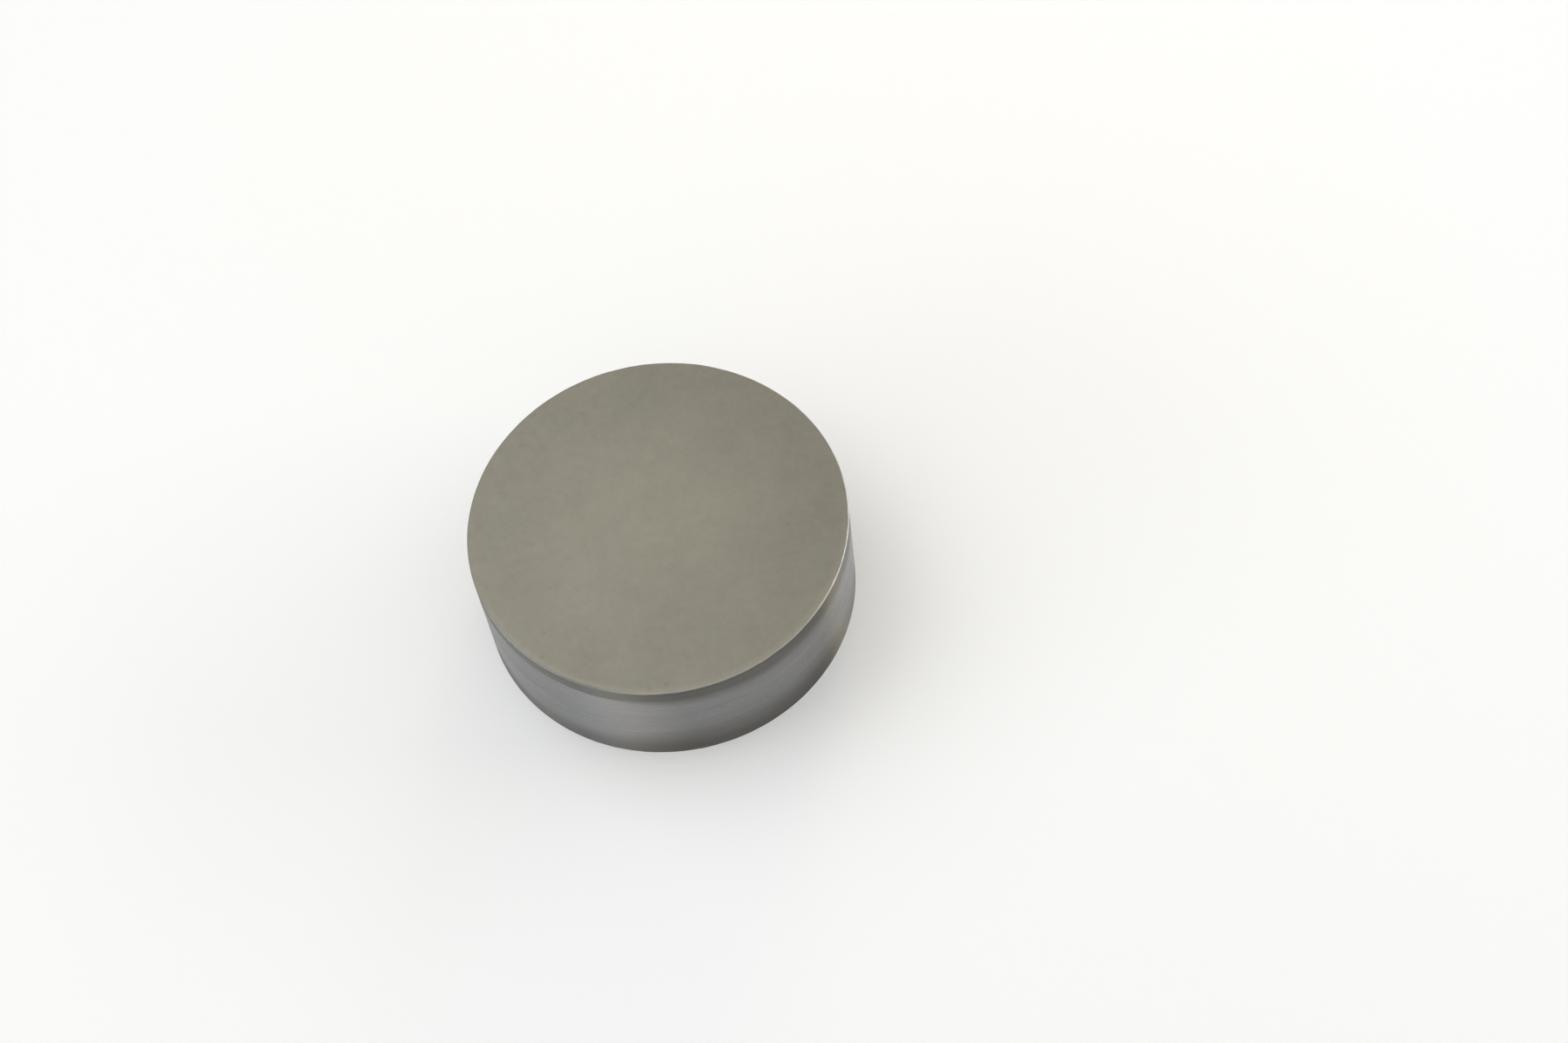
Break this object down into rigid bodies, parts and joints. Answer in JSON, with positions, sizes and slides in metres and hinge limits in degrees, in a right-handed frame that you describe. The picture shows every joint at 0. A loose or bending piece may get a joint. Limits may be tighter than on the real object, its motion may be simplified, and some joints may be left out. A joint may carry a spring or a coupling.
{
  "type": "sputtering target",
  "caption": "Thick round solid metal target with a flat fine-ground working face, a plain flat back face, a bright turned rim and lightly broken edges.",
  "frame": {"origin": "centre of the back face, on the disc's own axis", "axes": "+Z along the disc's axis and out of the working face; X and Y lie in the back face, and the round disc looks the same whichever way they point"},
  "size_m": [0.1, 0.1, 0.034],
  "materials": {
    "target_metal": "bare warm grey metal: satin fine-ground faces, bright finely turned rim"
  },
  "bodies": {
    "root": {"target_disc": "target_metal"}
  },
  "joints": []
}
